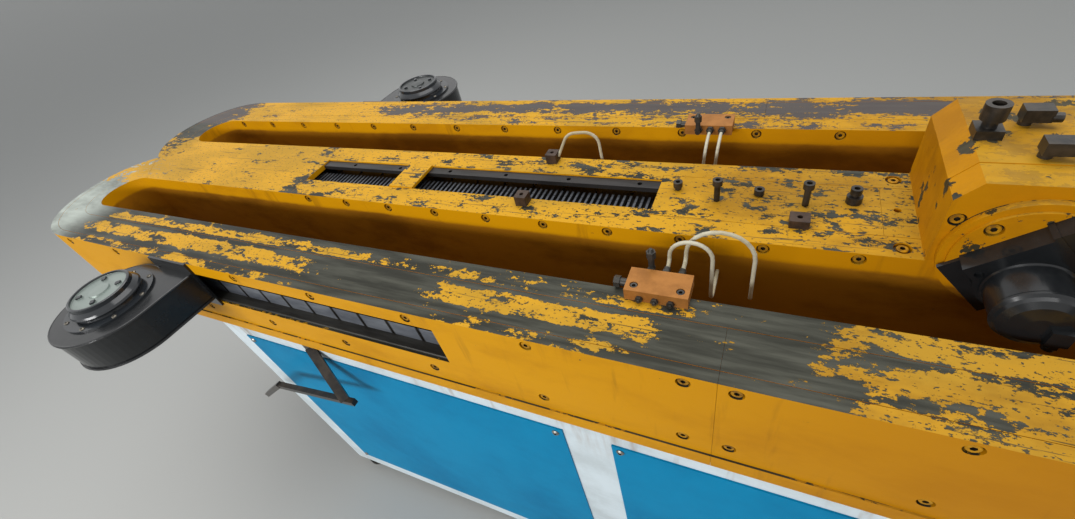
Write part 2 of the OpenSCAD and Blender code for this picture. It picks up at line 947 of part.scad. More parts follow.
module near_blower() {
    near_blower_place() blower();
}

module near_blower_motor() {
    near_blower_place() blower_motor();
}

module far_blower() {
    far_blower_place() blower();
}

module far_blower_motor() {
    far_blower_place() blower_motor();
}

// Small blower on its side, screwed to the bearing flange and turned with its outlet up
drive_blower_h = 26;
module drive_blower_place() {
    on_bed()
        translate([drive_x + drive_l / 2 + 1, -track_y + slot_r - flange_t - 4, flange_z - 8])
            rotate([90, 0, 0]) rotate([0, 0, 42]) children();
}

// Round scroll with a straight side, its foot plate towards -X and its outlet box towards +X
module drive_blower() {
    drive_blower_place() color(dark) {
        difference() {
            union() {
                cylinder(r = 51, h = drive_blower_h);
                translate([-42, 0, 0]) cube([84, 51, drive_blower_h]);
            }
            translate([-32, 36, 20]) cylinder(r = 5, h = 8);
        }
        translate([-68, -45, 0]) cube([104, 93, 5]);
        translate([41, -55, 0]) cube([6, 110, drive_blower_h]);
        translate([46, -50, 0]) cube([44, 103, drive_blower_h - 2]);
        translate([88, -55, 0]) cube([5, 110, drive_blower_h]);
    }
}

// Motor pot with a bead round its rim, a stepped and rounded front, and the cable gland
module drive_blower_motor() {
    drive_blower_place() color(dark) translate([-5, -3, drive_blower_h]) {
        rotate_extrude() polygon([
            [0, 0], [42, 0], [42, 4], [40, 5], [40, 44], [41, 46], [41, 49], [38, 52],
            [36, 56], [28, 60], [12, 62], [0, 62]
        ]);
        rotate([0, 0, -42]) translate([18, -6, 50]) {
            translate([-9, -16, 0]) cube([20, 22, 18]);
            translate([1, -15, 9]) rotate([90, 0, 0]) {
                cylinder(r = 8.5, h = 8, $fn = 6);
                cylinder(r = 6, h = 14);
            }
        }
    }
}

front_frame();
back_frame();
frame_ties();
levelling_feet();
front_panel_left();
front_panel_right();
back_panel_left();
back_panel_right();
end_panel_left();
end_panel_right();
hook_bar();
base_plate_left();
base_plate_right();
near_wall_left();
near_wall_right();
far_wall_left();
far_wall_right();
near_outer_bar();
near_inner_bar();
far_inner_bar();
far_outer_bar();
near_left_bend();
near_right_bend();
far_left_bend();
far_right_bend();
near_cover_left();
near_cover_right();
far_cover_left();
far_cover_right();
rack_shelf();
centre_cover_left();
centre_crossbar();
centre_cover_middle();
centre_cover_right();
near_mould_blocks();
far_mould_blocks();
window_rails();
drive_body();
drive_front_plate();
drive_back_plate();
bearing_flange();
clamp_bolts();
cover_screws();
grease_blocks();
near_manifold();
far_manifold();
grease_tubes();
near_blower();
near_blower_motor();
far_blower();
far_blower_motor();
drive_blower();
drive_blower_motor();
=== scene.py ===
# %% [markdown]
# # Corrugated pipe forming machine
# The real machine is a flat cast bed, about waist high, in which two chains of toothed mould
# blocks run round oval tracks. This lesson dresses its solid model: it paints and wears the
# plates, puts the screws into their counterbores and lights the bed as in a studio.
# Lengths are in metres. X runs along the machine, Y across it away from the operator.

# %% Load the solid model
import math

import bmesh
import bpy
from mathutils import Matrix, Vector


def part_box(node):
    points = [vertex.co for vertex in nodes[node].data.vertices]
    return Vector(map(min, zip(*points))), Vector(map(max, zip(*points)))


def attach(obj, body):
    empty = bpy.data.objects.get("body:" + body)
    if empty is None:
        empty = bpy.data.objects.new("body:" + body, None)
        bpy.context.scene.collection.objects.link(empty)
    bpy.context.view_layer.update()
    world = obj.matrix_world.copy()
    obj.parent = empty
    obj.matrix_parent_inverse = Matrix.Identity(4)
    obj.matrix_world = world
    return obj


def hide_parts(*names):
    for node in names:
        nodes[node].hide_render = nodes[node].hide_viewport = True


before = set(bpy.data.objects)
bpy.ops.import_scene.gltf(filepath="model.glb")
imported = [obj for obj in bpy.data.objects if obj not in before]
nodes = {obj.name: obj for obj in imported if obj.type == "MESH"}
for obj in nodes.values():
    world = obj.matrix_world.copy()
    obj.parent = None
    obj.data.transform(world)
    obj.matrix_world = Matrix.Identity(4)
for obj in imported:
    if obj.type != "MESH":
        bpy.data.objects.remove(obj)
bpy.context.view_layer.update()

# %% [markdown]
# ## Places on the bed
# The maker measures this bed from the joint across it and down from the top face. The model's
# origin lies on the floor under the middle of the bed. One helper turns the first into the
# second, so that every number below can be read off the machine.

# %% Places on the bed
joint_past_crossbar = 0.735
bed_joint_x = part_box("centre_crossbar")[0][0] + joint_past_crossbar
bed_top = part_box("centre_cover_left")[1][2]
wall_face = -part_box("near_wall_left")[0][1]
slot_inner, slot_outer = 0.100, 0.230


def on_bed(x, y, z):
    """A place measured from the bed's joint, the centreline and the top face."""
    return Vector((bed_joint_x + x, y, bed_top + z))


print("joint at", round(bed_joint_x, 4), "top at", round(bed_top, 4), "walls at",
      round(wall_face, 4))

# %% [markdown]
# ## Helpers for materials
# A material is a small graph. Writing `tree.nodes.new` and `links.new` for every step hides the
# idea, so helpers do it: `node` makes a node and fills its sockets with numbers or with other
# nodes' outputs. `plus`, `minus`, `times`, `rest` and `blend` make the kinds that are used most,
# so that a graph reads like a sum.

# %% Helpers for materials
def node(tree, kind, inputs=None, **settings):
    """A shader node whose sockets are filled by name or number, linked where a socket is given."""
    made = tree.nodes.new("ShaderNode" + kind)
    for key, value in settings.items():
        setattr(made, key, value)
    for key, value in (inputs or {}).items():
        if isinstance(value, bpy.types.NodeSocket):
            tree.links.new(value, made.inputs[key])
        else:
            made.inputs[key].default_value = value
    return made


def math_node(tree, operation, a, b=0.0):
    """One arithmetic step."""
    return node(tree, "Math", {0: a, 1: b}, operation=operation).outputs[0]


def plus(tree, a, b):
    return math_node(tree, "ADD", a, b)


def minus(tree, a, b):
    return math_node(tree, "SUBTRACT", a, b)


def times(tree, a, b):
    return math_node(tree, "MULTIPLY", a, b)


def rest(tree, share):
    """What a share leaves over of the whole."""
    return minus(tree, 1.0, share)


def blend(tree, factor, a, b):
    """Colour a where the factor is 0, colour b where it is 1."""
    made = node(tree, "Mix", data_type="RGBA")
    for socket, value in ((made.inputs[0], factor), (made.inputs[6], a), (made.inputs[7], b)):
        if isinstance(value, bpy.types.NodeSocket):
            tree.links.new(value, socket)
        else:
            socket.default_value = (*value, 1.0) if isinstance(value, tuple) else value
    return made.outputs[2]


def step(tree, value, low, high):
    """0 below low, 1 above high and smooth in between."""
    return node(tree, "MapRange", {0: value, 1: low, 2: high, 3: 0.0, 4: 1.0},
                interpolation_type="SMOOTHSTEP").outputs[0]


def ramp(tree, value, low, high, stops):
    """A curve through stops (place, amount), read along a value that runs from low to high."""
    share = node(tree, "MapRange", {0: value, 1: low, 2: high}).outputs[0]
    made = node(tree, "ValToRGB", {0: share})
    points = made.color_ramp.elements
    while len(points) < len(stops):
        points.new(0.5)
    for point, (place, amount) in zip(points, stops):
        point.position = (place - low) / (high - low)
        point.color = (amount, amount, amount, 1.0)
    return made.outputs[0]


def noise(tree, place, scale, detail=4.0, stretch=(1, 1, 1), roughness=0.6):
    """Cloudy noise, finer where stretch is larger."""
    turned = node(tree, "Mapping", {"Vector": place, "Scale": stretch}).outputs[0]
    return node(tree, "TexNoise", {"Vector": turned, "Scale": scale, "Detail": detail,
                                   "Roughness": roughness}).outputs[0]


def start_material(name, roughness=0.5, metallic=0.0, shine=0.25):
    """An empty material with its tree, shader and the place on the object."""
    material = bpy.data.materials.new(name)
    material.use_nodes = True
    tree = material.node_tree
    shader = tree.nodes["Principled BSDF"]
    shader.inputs["Roughness"].default_value = roughness
    shader.inputs["Metallic"].default_value = metallic
    shader.inputs["Specular IOR Level"].default_value = shine
    place = node(tree, "TexCoord").outputs["Object"]
    return material, tree, shader, place


def bump(tree, shader, height, distance, strength=0.5):
    """Raises the surface by a height from 0 to 1, times the distance."""
    made = node(tree, "Bump", {"Height": height, "Distance": distance, "Strength": strength})
    tree.links.new(made.outputs[0], shader.inputs["Normal"])


print("helpers ready")

# %% [markdown]
# ## Worn yellow paint
# The bed was sprayed yellow and has been worked on for years. On the top, tools and hands have
# flaked the paint into sharp-edged islands over dull steel. The upright walls kept theirs. Deep in
# the open slots the walls are painted dark brown below a wavy line, partly for grease and partly
# as painted shadow that the slot's edge casts there. Image textures would fix this wear to one
# view, so the graph works it out from the place on the bed and the way a face looks.
#
# The share of paint that is left is read from curves. On the operator's side the paint stayed
# in bands along the bed, so one curve gives the bare ground along it, and two more say how much
# of the inner and the outer band is left. The middle and the far side need one curve each, and
# the far side is barer in one dip across it. Ragged noise is compared with that share, which
# gives islands with a sharp edge and a brown film of old undercoat round them.

# %% How much paint is left on the top
bed_left, bed_right, bed_side = -1.82, 0.90, 0.36


def paint_left(tree, along, y):
    """The share of paint left on the top at a place, from 0 to 1."""

    def along_bed(*stops):
        return ramp(tree, along, bed_left, bed_right, stops)

    def across_near(*stops):
        return ramp(tree, y, -bed_side, 0.0, stops)

    def across_far(*stops):
        return ramp(tree, y, 0.0, bed_side, stops)

    lip = across_near((-0.268, 0.0), (-0.264, 1.0), (-0.247, 1.0), (-0.240, 0.25), (-0.230, 0.1))
    broad_band = across_near((-0.356, 0.7), (-0.338, 0.7), (-0.330, 0.2), (-0.322, 0.35),
                             (-0.314, 1.0), (-0.284, 1.0), (-0.277, 0.2), (-0.270, 0.0))
    ground = along_bed((-1.56, 0.03), (-1.46, 0.10), (-0.75, 0.10), (-0.66, 0.04), (-0.48, 0.04),
                       (-0.40, 0.14), (-0.10, 0.14), (-0.05, 0.12), (0.06, 0.14), (0.13, 0.38),
                       (0.45, 0.46), (0.90, 0.54))
    lip_left = along_bed((-1.62, 0.05), (-1.50, 0.50), (-0.85, 0.48), (-0.45, 0.38),
                         (-0.36, 0.26), (-0.10, 0.38), (0.0, 0.1), (0.15, 0.2))
    band_left = along_bed((-1.62, 0.08), (-1.48, 0.54), (-0.80, 0.50), (-0.68, 0.16),
                          (-0.50, 0.12), (-0.41, 0.52), (-0.12, 0.48), (-0.06, 0.05),
                          (0.08, 0.05), (0.15, 0.22))
    near = plus(tree, ground, plus(tree, times(tree, lip, lip_left),
                                   times(tree, broad_band, band_left)))

    far_along = along_bed((-1.76, 0.05), (-1.66, 0.20), (-1.56, 0.70), (-1.08, 0.72),
                          (-0.98, 0.60), (-0.40, 0.56), (0.10, 0.52), (0.40, 0.60), (0.90, 0.66))
    far_lip = across_far((0.232, 0.12), (0.262, 0.0))
    far_dip = across_far((0.275, 0.0), (0.300, 0.20), (0.330, 0.20), (0.345, 0.0))
    dip_left = along_bed((-1.10, 0.0), (-0.95, 1.0))
    far = minus(tree, plus(tree, far_along, far_lip), times(tree, far_dip, dip_left))

    middle_along = along_bed((-1.75, 0.60), (-1.60, 0.80), (-1.07, 0.76), (-1.03, 0.50),
                             (-0.99, 0.50), (-0.95, 0.64), (-0.20, 0.60), (-0.10, 0.64),
                             (0.15, 0.62), (0.20, 0.60), (0.90, 0.58))
    outer = blend(tree, step(tree, y, -0.02, 0.02), near, far)
    from_middle = math_node(tree, "ABSOLUTE", y)
    return blend(tree, step(tree, from_middle, slot_inner, 0.16), middle_along, outer)


# %% [markdown]
# ### From the share to islands, chips and scratches
# Coarse noise gives the islands' outline and fine noise their ragged edge. The drive housing is
# handled less, so it keeps most of its paint and only chips, most of all along its front edge.

# %% Islands, chips and scratches
housing_left = 0.19
housing_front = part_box("drive_front_plate")[0][1]


def paint_cover(tree, place, coords, up, share, far_side):
    """Where paint lies, the film round it, the ragged noise, the housing and the top."""
    along, y, z = coords
    top = step(tree, up, 0.6, 0.8)
    broad = noise(tree, place, 21.0, 7.0, (0.75, 1.6, 1.0), 0.66)
    ragged = noise(tree, place, 105.0, 5.0, (0.75, 1.25, 1.0), 0.72)
    stripes = noise(tree, place, 14.0, 5.0, (0.22, 3.2, 1.0), 0.62)
    broad = blend(tree, times(tree, far_side, 0.35), broad, stripes)
    islands = plus(tree, times(tree, broad, 0.64), times(tree, ragged, 0.36))
    contrast = 3.0
    islands = plus(tree, times(tree, minus(tree, islands, 0.5), contrast), 0.5)
    over = minus(tree, share, islands)
    left = step(tree, over, -0.008, 0.008)
    film = step(tree, over, -0.075, -0.005)

    specks = step(tree, noise(tree, place, 200.0, 3.0, (0.6, 1.0, 1.0), 0.6), 0.615, 0.64)
    scratch = step(tree, noise(tree, place, 55.0, 3.0, (0.10, 5.0, 1.0), 0.6), 0.645, 0.67)
    chipped = math_node(tree, "MAXIMUM", specks, times(tree, scratch, 0.85))
    left = times(tree, left, rest(tree, chipped))
    nicks = step(tree, noise(tree, place, 42.0, 5.0, (0.8, 1.0, 1.0), 0.72), 0.715, 0.725)

    housing = times(tree, step(tree, z, bed_top + 0.001, bed_top + 0.002),
                    step(tree, along, housing_left, housing_left + 0.01))
    from_edge = minus(tree, y, housing_front)
    edge = times(tree, step(tree, up, 0.2, 0.4), rest(tree, step(tree, from_edge, 0.004, 0.016)))
    edge = times(tree, edge, step(tree, from_edge, -0.002, -0.001))
    chips = noise(tree, place, 27.0, 6.0, (1.0, 1.0, 1.0), 0.62)
    chips = plus(tree, chips, times(tree, edge, 0.13))
    chips = step(tree, chips, 0.600, 0.610)
    nicks = math_node(tree, "MAXIMUM", nicks, times(tree, chips, housing))
    upright = rest(tree, nicks)
    whole = times(tree, housing, 0.75)
    left = math_node(tree, "MINIMUM", math_node(tree, "MAXIMUM", left, whole), upright)
    return blend(tree, top, upright, left), film, ragged, housing, top


# %% [markdown]
# ### The yellow and the steel under it
# Sprayed yellow is darker where hands and oil have been, on the right of the bed and low on the
# walls. Deep in the slots it is painted dark brown below a wavy line, partly grease and partly
# painted shadow of the slot's edge. The steel under it is olive grey with long marks, greyer on
# the far side, and at the round left end it carries a painted pale bluish sheen, which stands in
# for reflected light.

# %% The yellow and the steel under it
wall_yellow, wall_orange, wall_stain = (
    (0.64, 0.295, 0.002), (0.46, 0.185, 0.002), (0.40, 0.155, 0.003))
top_yellow, top_orange, top_stain = (
    (0.58, 0.300, 0.016), (0.47, 0.235, 0.012), (0.43, 0.235, 0.020))
top_hands, wall_hands = (0.25, 0.118, 0.009), (0.24, 0.088, 0.004)
soil_brown, drip_brown = (0.22, 0.085, 0.006), (0.20, 0.075, 0.006)
# Grease and painted shadow deep in the slots, below the line where the slot's edge shades the
# wall.
slot_grease_shadow_brown, slot_grease_shadow_dark = (0.32, 0.130, 0.007), (0.19, 0.072, 0.005)
steel_dark, steel_olive, steel_far = (
    (0.026, 0.026, 0.020), (0.066, 0.066, 0.052), (0.095, 0.078, 0.074))
# A painted pale sheen that stands in for reflected light on the worn left end, and the undercoat.
steel_sheen, undercoat = (0.55, 0.60, 0.54), (0.080, 0.058, 0.020)


def yellow_coat(tree, place, coords, stain, housing, top):
    """The paint's colour, and where the slots' grease and painted shadow lie."""
    along, y, z = coords
    to_right = step(tree, along, -0.35, 0.45)
    wall = blend(tree, to_right, wall_yellow, wall_orange)
    wall = blend(tree, times(tree, step(tree, stain, 0.45, 0.72), 0.5), wall, wall_stain)
    flat = blend(tree, to_right, top_yellow, top_orange)
    flat = blend(tree, step(tree, stain, 0.42, 0.66), flat, top_stain)
    marks = step(tree, noise(tree, place, 8.0, 6.0, (0.7, 1.3, 1.0), 0.65), 0.42, 0.66)
    handled = times(tree, step(tree, along, -0.30, 0.05), marks)
    flat = blend(tree, times(tree, handled, 0.70), flat, top_hands)
    wall = blend(tree, times(tree, times(tree, handled, housing), 0.45), wall, wall_hands)
    yellow = blend(tree, top, wall, flat)

    low = minus(tree, bed_top, z)
    dirt = step(tree, noise(tree, place, 14.0, 5.0, (1, 1, 2.5), 0.65), 0.38, 0.70)
    soil = times(tree, step(tree, low, 0.12, 0.20), dirt)
    yellow = blend(tree, times(tree, soil, 0.16), yellow, soil_brown)
    drips = step(tree, noise(tree, place, 26.0, 4.0, (1.0, 1.0, 0.12), 0.6), 0.58, 0.72)
    drips = times(tree, drips, rest(tree, top))
    yellow = blend(tree, times(tree, drips, 0.35), yellow, drip_brown)

    # Deep in the slots the walls turn dark brown below a wavy line 28 to 36 mm down: partly
    # grease, partly painted shadow that the slot's near edge casts there.
    side = math_node(tree, "ABSOLUTE", y)
    in_slot = times(tree, step(tree, side, slot_inner - 0.004, slot_inner - 0.001),
                    rest(tree, step(tree, side, slot_outer + 0.001, slot_outer + 0.004)))
    waver = times(tree, minus(tree, stain, 0.5), 0.016)
    deep = step(tree, plus(tree, low, waver), 0.028, 0.036)
    slot_grease_and_shadow = times(tree, in_slot, deep)
    oily_and_shadowed = blend(tree, step(tree, stain, 0.42, 0.62), slot_grease_shadow_brown, slot_grease_shadow_dark)
    return blend(tree, times(tree, slot_grease_and_shadow, 0.92), yellow, oily_and_shadowed), slot_grease_and_shadow


def bare_ground(tree, place, coords, stain, film, far_side):
    """The worn steel's colour, with the film of undercoat round the islands."""
    along, y, _ = coords
    long_marks = noise(tree, place, 20.0, 5.0, (0.3, 3.0, 1.0), 0.6)
    steel = blend(tree, step(tree, long_marks, 0.35, 0.7), steel_dark, steel_olive)
    steel = blend(tree, times(tree, far_side, 0.7), steel, steel_far)
    # Painted pale sheen of reflected light on the bare steel at the round left end.
    left_end_sheen = times(tree, rest(tree, step(tree, along, -1.72, -1.50)),
                 rest(tree, step(tree, y, -0.06, 0.02)))
    steel = blend(tree, times(tree, left_end_sheen, step(tree, stain, 0.12, 0.72)), steel, steel_sheen)
    return blend(tree, times(tree, film, 0.45), steel, undercoat)


# %% Worn yellow paint
def bed_paint(name="bed_paint"):
    """Paint over steel: the cover mixes the two, and its edge shows as a low step."""
    material, tree, shader, place = start_material(name, shine=0.08)
    x, y, z = node(tree, "SeparateXYZ", {0: place}).outputs
    normal = node(tree, "NewGeometry").outputs["Normal"]
    up = node(tree, "SeparateXYZ", {0: normal}).outputs[2]
    coords = (minus(tree, x, bed_joint_x), y, z)
    share = paint_left(tree, coords[0], y)
    far_side = step(tree, y, 0.20, 0.22)
    cover, film, ragged, housing, top = paint_cover(tree, place, coords, up, share, far_side)
    stain = noise(tree, place, 5.0, 6.0, (0.7, 1.6, 1.6), 0.65)
    yellow, slot_grease_and_shadow = yellow_coat(tree, place, coords, stain, housing, top)
    steel = bare_ground(tree, place, coords, stain, film, far_side)
    tree.links.new(blend(tree, cover, steel, yellow), shader.inputs["Base Color"])

    rough = plus(tree, 0.34, times(tree, stain, 0.24))
    rough = plus(tree, rough, times(tree, slot_grease_and_shadow, 0.12))
    tree.links.new(rough, shader.inputs["Roughness"])
    tree.links.new(times(tree, rest(tree, cover), 0.30), shader.inputs["Metallic"])
    bump(tree, shader, plus(tree, cover, times(tree, ragged, 0.35)), 0.0006, 0.6)
    return material


yellow_paint = bed_paint()
print("bed paint has", len(yellow_paint.node_tree.nodes), "nodes")

# %% [markdown]
# ## The other finishes
# The frame is sprayed white, with brown oil that has run down from the bed, and the panels are
# blue sheet. The shelf and the sills are bare or oily steel, the hook bar and the proud bolts
# black oxide, the blowers shiny black enamel and the tubes milky plastic. Each finish is one
# helper call: two colours mixed by noise, a gloss that varies with it, and a little relief.
# Pictures wrapped round the parts would do as well, but noise needs no unfolding and has no
# seams.

# %% The other finishes
run_brown, dust_colour = (0.28, 0.16, 0.06), (0.05, 0.049, 0.046)


def finish(name, colour, second, scale=12.0, roughness=(0.35, 0.55), metallic=0.0,
           stretch=(1, 1, 1), relief=0.0002, dust=0.0, shine=0.25, runs_from=0.0):
    """Two colours mixed by noise.

    Dust gathers on faces that look up. Brown oil runs down from a height where one is given."""
    material, tree, shader, place = start_material(name, metallic=metallic, shine=shine)
    cloud = noise(tree, place, scale, 6.0, stretch, 0.65)
    fine = noise(tree, place, scale * 9.0, 4.0, stretch, 0.6)
    mixed = blend(tree, step(tree, cloud, 0.36, 0.68), colour, second)
    if runs_from:
        z = node(tree, "SeparateXYZ", {0: place}).outputs[2]
        runs = step(tree, noise(tree, place, 24.0, 4.0, (1.0, 1.0, 0.13), 0.6), 0.52, 0.72)
        runs = times(tree, runs, step(tree, z, runs_from - 0.16, runs_from))
        mixed = blend(tree, times(tree, runs, 0.65), mixed, run_brown)
    if dust:
        up = node(tree, "SeparateXYZ", {0: node(tree, "NewGeometry").outputs["Normal"]}).outputs[2]
        lying = times(tree, step(tree, up, 0.3, 0.9), step(tree, fine, 0.35, 0.7))
        mixed = blend(tree, times(tree, lying, dust), mixed, dust_colour)
    tree.links.new(mixed, shader.inputs["Base Color"])
    smooth, rough = roughness
    tree.links.new(plus(tree, smooth, times(tree, cloud, rough - smooth)),
                   shader.inputs["Roughness"])
    if relief:
        bump(tree, shader, fine, relief, 0.6)
    return material


frame_white = finish("frame_paint", (0.66, 0.74, 0.78), (0.52, 0.58, 0.60), 6.0, (0.35, 0.6),
                     shine=0.12, runs_from=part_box("front_frame")[1][2])
panel_blue = finish("panel_paint", (0.001, 0.225, 0.43), (0.001, 0.160, 0.33), 2.2, (0.35, 0.5),
                    relief=0.0001, shine=0.04)
bare_steel = finish("bare_steel", (0.070, 0.068, 0.060), (0.030, 0.028, 0.024), 16.0, (0.3, 0.5),
                    metallic=0.5, stretch=(0.4, 3, 1))
oily_steel = finish("oily_steel", (0.036, 0.033, 0.032), (0.016, 0.015, 0.014), 16.0, (0.3, 0.5),
                    metallic=0.4, stretch=(0.4, 3, 1))
oily_brown = finish("oily_brown", (0.060, 0.036, 0.024), (0.022, 0.014, 0.010), 70.0, (0.35, 0.6),
                    metallic=0.2)
black_oxide = finish("black_oxide", (0.014, 0.013, 0.012), (0.048, 0.038, 0.028), 40.0,
                     (0.22, 0.42), metallic=0.3, shine=0.4)
milky_plastic = finish("tube_plastic", (0.50, 0.47, 0.36), (0.36, 0.30, 0.18), 20.0, (0.3, 0.5))
black_enamel = finish("blower_paint", (0.007, 0.008, 0.009), (0.013, 0.014, 0.015), 8.0,
                      (0.12, 0.26), relief=0.00003, dust=0.12, shine=0.38)
print("finishes:", len(bpy.data.materials))

# %% [markdown]
# ## Mould block steel
# The mould blocks are oily dark castings. The faces that pass the side windows are ground bright
# between dark edges. The tips of the rack's teeth are painted bright: partly the gear's polish,
# partly a painted glint of light. A block follows every 70 mm along the straights, so the
# material counts that pitch to find the blocks' edges, which keeps one material for all of them.

# %% Mould block steel
face_depth = 0.0305
mould_face = wall_face - face_depth
tooth_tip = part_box("near_mould_blocks")[1][2]
block_pitch, block_middle_x = 0.070, 0.064015
casting_dark, casting_worn = (0.012, 0.011, 0.010), (0.036, 0.034, 0.032)
ground_steel, ground_pale = (0.115, 0.125, 0.150), (0.21, 0.225, 0.25)


def mould_finish(name="mould_steel"):
    """Oily dark castings. On the outer runs the ground faces are bright between dark edges."""
    material, tree, shader, place = start_material(name, 0.4, 0.45)
    x, y, z = node(tree, "SeparateXYZ", {0: place}).outputs
    facing = node(tree, "SeparateXYZ", {0: node(tree, "NewGeometry").outputs["Normal"]}).outputs[1]
    turns = plus(tree, math_node(tree, "DIVIDE", minus(tree, x, block_middle_x), block_pitch), 0.5)
    off = math_node(tree, "ABSOLUTE", minus(tree, math_node(tree, "FRACT", turns), 0.5))
    ground = rest(tree, step(tree, off, 0.425, 0.445))
    outer = step(tree, math_node(tree, "ABSOLUTE", y), mould_face - 0.0008, mould_face - 0.0002)
    upright = step(tree, math_node(tree, "ABSOLUTE", facing), 0.5, 0.9)
    bright = times(tree, ground, times(tree, outer, upright))
    # Tips of the rack's teeth: the gear's polish and a painted glint of light.
    polish_and_glint = times(tree, step(tree, z, tooth_tip - 0.0012, tooth_tip - 0.0004), 0.45)
    bright = math_node(tree, "MAXIMUM", bright, polish_and_glint)
    cloud = noise(tree, place, 26.0, 6.0, (0.5, 1, 2), 0.65)
    dark = blend(tree, step(tree, cloud, 0.36, 0.68), casting_dark, casting_worn)
    shiny = blend(tree, step(tree, cloud, 0.30, 0.70), ground_steel, ground_pale)
    tree.links.new(blend(tree, bright, dark, shiny), shader.inputs["Base Color"])
    tree.links.new(plus(tree, 0.28, times(tree, cloud, 0.2)), shader.inputs["Roughness"])
    bump(tree, shader, noise(tree, place, 240.0, 3.0), 0.0001, 0.5)
    return material


mould_steel = mould_finish()
print("blocks repeat every", 1000 * block_pitch, "mm on the straights")

# %% [markdown]
# ## The motors' end caps
# A blower motor is a pressed black pan with a bare cast cap let into its top. Both belong to
# one solid, so the material asks how far a point is from the motor's axis. Two materials on one
# mesh would need its faces sorted by hand.

# %% The motors' end caps
cap_radius, screw_circle, screw_rise = 0.0549, 0.0300, 0.0304


def motor_finish(name, axis_x, axis_y, base, cast_dark, cast_pale):
    """Black pan, bare cast cap and dark screw heads in the cap's recess."""
    material, tree, shader, place = start_material(name, 0.3, shine=0.45)
    x, y, z = node(tree, "SeparateXYZ", {0: place}).outputs
    off_x, off_y = minus(tree, x, axis_x), minus(tree, y, axis_y)
    off = math_node(tree, "SQRT",
                    plus(tree, times(tree, off_x, off_x), times(tree, off_y, off_y)))
    cap = rest(tree, step(tree, off, cap_radius - 0.0005, cap_radius))
    heads = times(tree, step(tree, off, screw_circle, screw_circle + 0.001),
                  step(tree, z, base + screw_rise, base + screw_rise + 0.0004))
    cap = times(tree, cap, rest(tree, heads))
    cloud = noise(tree, place, 14.0, 5.0)
    pan = blend(tree, cloud, (0.008, 0.009, 0.011), (0.030, 0.034, 0.038))
    cast = blend(tree, cloud, cast_dark, cast_pale)
    tree.links.new(blend(tree, cap, pan, cast), shader.inputs["Base Color"])
    tree.links.new(times(tree, cap, 0.6), shader.inputs["Metallic"])
    tree.links.new(plus(tree, 0.16, times(tree, cap, 0.22)), shader.inputs["Roughness"])
    bump(tree, shader, noise(tree, place, 160.0, 3.0), 0.00008, 0.5)
    return material


def middle(name):
    """The middle of a node's box, seen from above."""
    low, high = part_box(name)
    return (low[0] + high[0]) / 2, (low[1] + high[1]) / 2


near_motor_finish = motor_finish("near_motor_paint", *middle("near_blower_motor"),
                                 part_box("near_blower_motor")[0][2],
                                 (0.20, 0.24, 0.22), (0.30, 0.34, 0.31))
far_motor_finish = motor_finish("far_motor_paint", *middle("far_blower_motor"),
                                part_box("far_blower_motor")[0][2],
                                (0.034, 0.038, 0.038), (0.065, 0.070, 0.068))
print("motor axes", middle("near_blower_motor"), middle("far_blower_motor"))

# %% [markdown]
# ## The grease manifolds
# A manifold is a bronze-coloured block with dark steel fittings, and both are one solid. What
# lies outside the block's own box is a fitting, so six comparisons are enough to tell the two
# apart on either side of the bed.

# %% The grease manifolds
manifold_left, manifold_right = -0.1425, -0.0525
manifold_inner, manifold_outer, manifold_height = 0.2035, 0.2505, 0.0205


def manifold_finish(name="manifold_copper"):
    """Bronze inside the block's box and dark steel outside it."""
    material, tree, shader, place = start_material(name, 0.4, shine=0.12)
    x, y, z = node(tree, "SeparateXYZ", {0: place}).outputs
    side = math_node(tree, "ABSOLUTE", y)
    inside = 1.0
    for value, low, high in ((x, bed_joint_x + manifold_left, bed_joint_x + manifold_right),
                             (side, manifold_inner, manifold_outer),
                             (z, bed_top - 0.001, bed_top + manifold_height)):
        above = math_node(tree, "GREATER_THAN", value, low)
        below = math_node(tree, "LESS_THAN", value, high)
        inside = times(tree, inside, times(tree, above, below))
    cloud = noise(tree, place, 30.0, 6.0, roughness=0.65)
    block = blend(tree, step(tree, cloud, 0.36, 0.68), (0.36, 0.150, 0.036), (0.26, 0.105, 0.024))
    fitting = blend(tree, cloud, (0.016, 0.015, 0.014), (0.090, 0.085, 0.075))
    tree.links.new(blend(tree, inside, fitting, block), shader.inputs["Base Color"])
    tree.links.new(minus(tree, 0.55, times(tree, inside, 0.40)), shader.inputs["Metallic"])
    tree.links.new(plus(tree, 0.32, times(tree, cloud, 0.2)), shader.inputs["Roughness"])
    bump(tree, shader, noise(tree, place, 260.0, 3.0), 0.0001, 0.5)
    return material


bronze = manifold_finish()
print("bronze block between", 1000 * manifold_inner, "and", 1000 * manifold_outer,
      "mm from the centreline")

# %% [markdown]
# ## Dressing the solid model
# Each solid gets the finish of its kind, found by words in its name. The list is read from the
# top, so a special word stands before a general one.

# %% Dressing the solid model
finish_by_word = [
    ("near_blower_motor", near_motor_finish), ("far_blower_motor", far_motor_finish),
    ("blower", black_enamel), ("hook_bar", black_oxide), ("manifold", bronze),
    ("tubes", milky_plastic), ("mould", mould_steel), ("shelf", oily_steel),
    ("rails", oily_steel), ("grease_blocks", oily_brown), ("feet", bare_steel),
    ("bolts", black_oxide), ("cover_screws", black_oxide), ("panel", panel_blue),
    ("frame", frame_white),
]
for name, solid in nodes.items():
    chosen = next((made for word, made in finish_by_word if word in name), yellow_paint)
    solid.data.materials.clear()
    solid.data.materials.append(chosen)
print("dressed", len(nodes), "solids")

# %% [markdown]
# ## Socket screws by Geometry Nodes
# Every wall and bar of the bed is held by socket screws sunk into counterbores. There are more
# than a hundred, all alike but each turned by chance. Copying objects would be slow to change,
# so one tree puts a screw on every point of a small mesh, looking the way that the point's
# `facing` says. The head itself is a few rings of points made in mesh code. The screws were
# sprayed with the bed. Their sockets and a collar round each head are marked and get a second,
# dark material: partly old grease, partly painted shade of the socket and the counterbore's gap.

